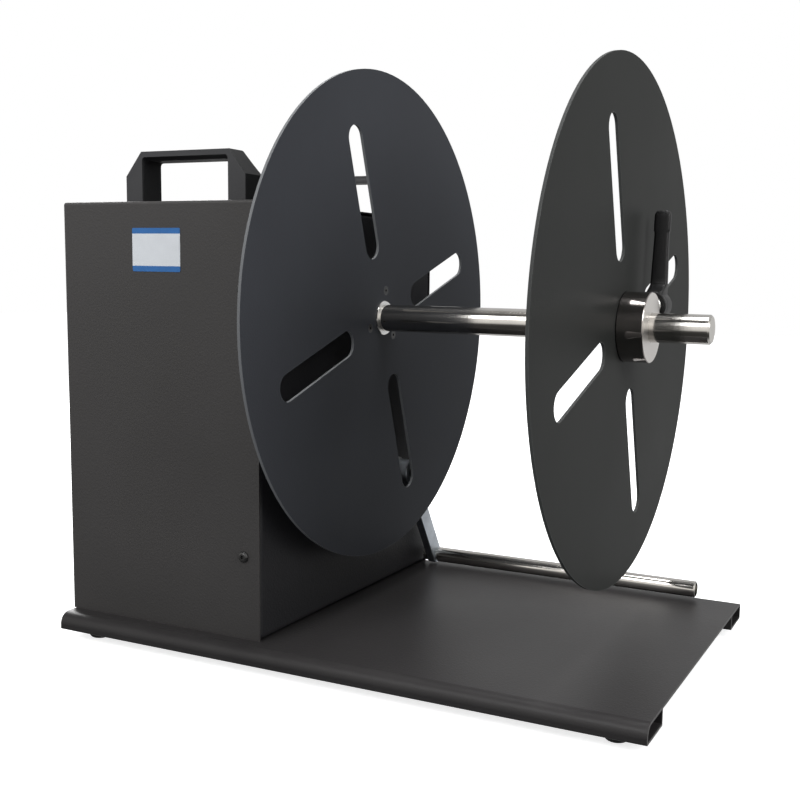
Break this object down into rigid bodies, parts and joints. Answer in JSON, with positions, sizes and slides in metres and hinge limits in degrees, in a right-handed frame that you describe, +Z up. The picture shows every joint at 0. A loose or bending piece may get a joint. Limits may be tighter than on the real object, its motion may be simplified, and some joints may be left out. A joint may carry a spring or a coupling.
{
  "type": "label rewinder",
  "caption": "Bench label rewinder: boxed drive cabinet on a folded base, horizontal spindle between slotted disc flanges, lever-clamped outer flange and a swinging guide roller.",
  "frame": {"origin": "centre of the bounding box's bottom face: on the floor under the spindle's axis, halfway along the whole length", "axes": "+X along the spindle to its free end, -Y the front, +Z up"},
  "size_m": [0.568, 0.4499, 0.519],
  "materials": {
    "cabinet_paint": "fine textured powder coat, satin",
    "flange_paint": "smooth matt powder coat",
    "handle_plastic": "moulded, fine grain",
    "ground_chrome": "ground and hard chromed",
    "hub_chrome": "turned and plated",
    "zinc_steel": "bright zinc",
    "black_steel": "black oxide",
    "arm_steel": "satin plated bar",
    "lever_coat": "black coated casting",
    "plug_brass": "turned",
    "foot_rubber": "moulded, matt",
    "belt_rubber": "moulded, matt",
    "turned_aluminium": "turned",
    "bearing_steel": "ground",
    "gearbox_casting": "die cast",
    "motor_paint": "painted can",
    "bush_plastic": "turned acetal",
    "supply_steel": "folded sheet",
    "board_laminate": "laminate with parts",
    "switch_plastic": "moulded",
    "rocker_plastic": "moulded",
    "dial_metal": "plated"
  },
  "bodies": {
    "frame": {"base_plate": "cabinet_paint", "rubber_feet": "foot_rubber", "foot_screws": "zinc_steel", "bearing_wall": "cabinet_paint", "cabinet_cover": "cabinet_paint", "cover_screws": "black_steel", "front_handle": "handle_plastic", "rear_handle": "handle_plastic", "handle_screws": "zinc_steel", "inner_plate": "cabinet_paint", "frame_spacers": "zinc_steel", "spacer_screws": "zinc_steel", "front_bearing_housing": "turned_aluminium", "rear_bearing_housing": "turned_aluminium", "front_bearing": "bearing_steel", "rear_bearing": "bearing_steel", "housing_screws": "black_steel", "drive_belt": "belt_rubber", "gearbox": "gearbox_casting", "drive_motor": "motor_paint", "gearbox_screws": "black_steel", "dancer_housing": "turned_aluminium", "arm_switch": "switch_plastic", "switch_bracket": "cabinet_paint", "power_supply": "supply_steel", "control_board": "board_laminate", "board_standoffs": "zinc_steel", "power_inlet": "switch_plastic", "switch_frames": "switch_plastic", "speed_potentiometer": "dial_metal"},
    "spindle": {"main_spindle": "ground_chrome", "spindle_circlips": "black_steel", "spindle_pulley": "turned_aluminium", "back_flange_disc": "flange_paint", "back_flange_hub": "hub_chrome", "back_flange_screws": "zinc_steel", "hub_set_screw": "black_steel"},
    "outer_flange": {"outer_flange_disc": "flange_paint", "outer_hub_collar": "hub_chrome", "outer_flange_screws": "zinc_steel", "clamp_plug": "plug_brass"},
    "clamp_seat": {"clamp_insert": "zinc_steel", "lever_screw": "black_steel"},
    "clamp_handle": {"clamp_lever": "lever_coat"},
    "drive_shaft": {"gearbox_shaft": "zinc_steel", "motor_pulley": "turned_aluminium"},
    "dancer": {"dancer_arm": "arm_steel", "dancer_arm_screw": "black_steel", "dancer_shaft": "zinc_steel", "dancer_cam": "bush_plastic", "roller_axle": "zinc_steel", "roller_axle_nut": "zinc_steel", "roller_end_screw": "zinc_steel"},
    "roller": {"roller_tube": "ground_chrome", "roller_bushes": "bush_plastic"},
    "power_switch": {"power_rocker": "rocker_plastic"},
    "direction_switch": {"direction_rocker": "switch_plastic"},
    "speed_dial": {"speed_knob": "switch_plastic"}
  },
  "joints": [
    {"name": "spindle_spin", "type": "hinge", "parent": "frame", "child": "spindle", "pos_m": [0, 0, 0.294], "axis": [1, 0, 0], "continuous": true},
    {"name": "motor_spin", "type": "hinge", "parent": "frame", "child": "drive_shaft", "pos_m": [-0.155, 0, 0.165], "axis": [1, 0, 0], "continuous": true},
    {"name": "outer_flange_slide", "type": "slide", "parent": "spindle", "child": "outer_flange", "axis": [1, 0, 0], "range_m": [-0.215, 0.045]},
    {"name": "clamp_turn", "type": "hinge", "parent": "outer_flange", "child": "clamp_seat", "pos_m": [0.217, 0.03, 0.312], "axis": [0, 1, 0], "range_deg": [0, 110]},
    {"name": "clamp_lever_lift", "type": "slide", "parent": "clamp_seat", "child": "clamp_handle", "axis": [0, 1, 0], "range_m": [0, 0.004], "stiffness_N_per_m": 800, "springref_m": -0.003},
    {"name": "dancer_swing", "type": "hinge", "parent": "frame", "child": "dancer", "pos_m": [-0.045, 0.0775, 0.133], "axis": [1, 0, 0], "range_deg": [0, 60]},
    {"name": "roller_spin", "type": "hinge", "parent": "dancer", "child": "roller", "pos_m": [0.1, 0.14003, 0.03293], "axis": [1, 0, 0], "continuous": true},
    {"name": "power_switch_rock", "type": "hinge", "parent": "frame", "child": "power_switch", "pos_m": [-0.266, 0.045, 0.083], "axis": [0, 1, 0], "range_deg": [0, 16]},
    {"name": "direction_switch_rock", "type": "hinge", "parent": "frame", "child": "direction_switch", "pos_m": [-0.266, -0.065, 0.323], "axis": [0, 1, 0], "range_deg": [-8, 8]},
    {"name": "speed_dial_turn", "type": "hinge", "parent": "frame", "child": "speed_dial", "pos_m": [-0.27, -0.105, 0.323], "axis": [1, 0, 0], "range_deg": [0, 270]}
  ],
  "couplings": [
    {"joint": "motor_spin", "follows": "spindle_spin", "ratio": 2}
  ]
}
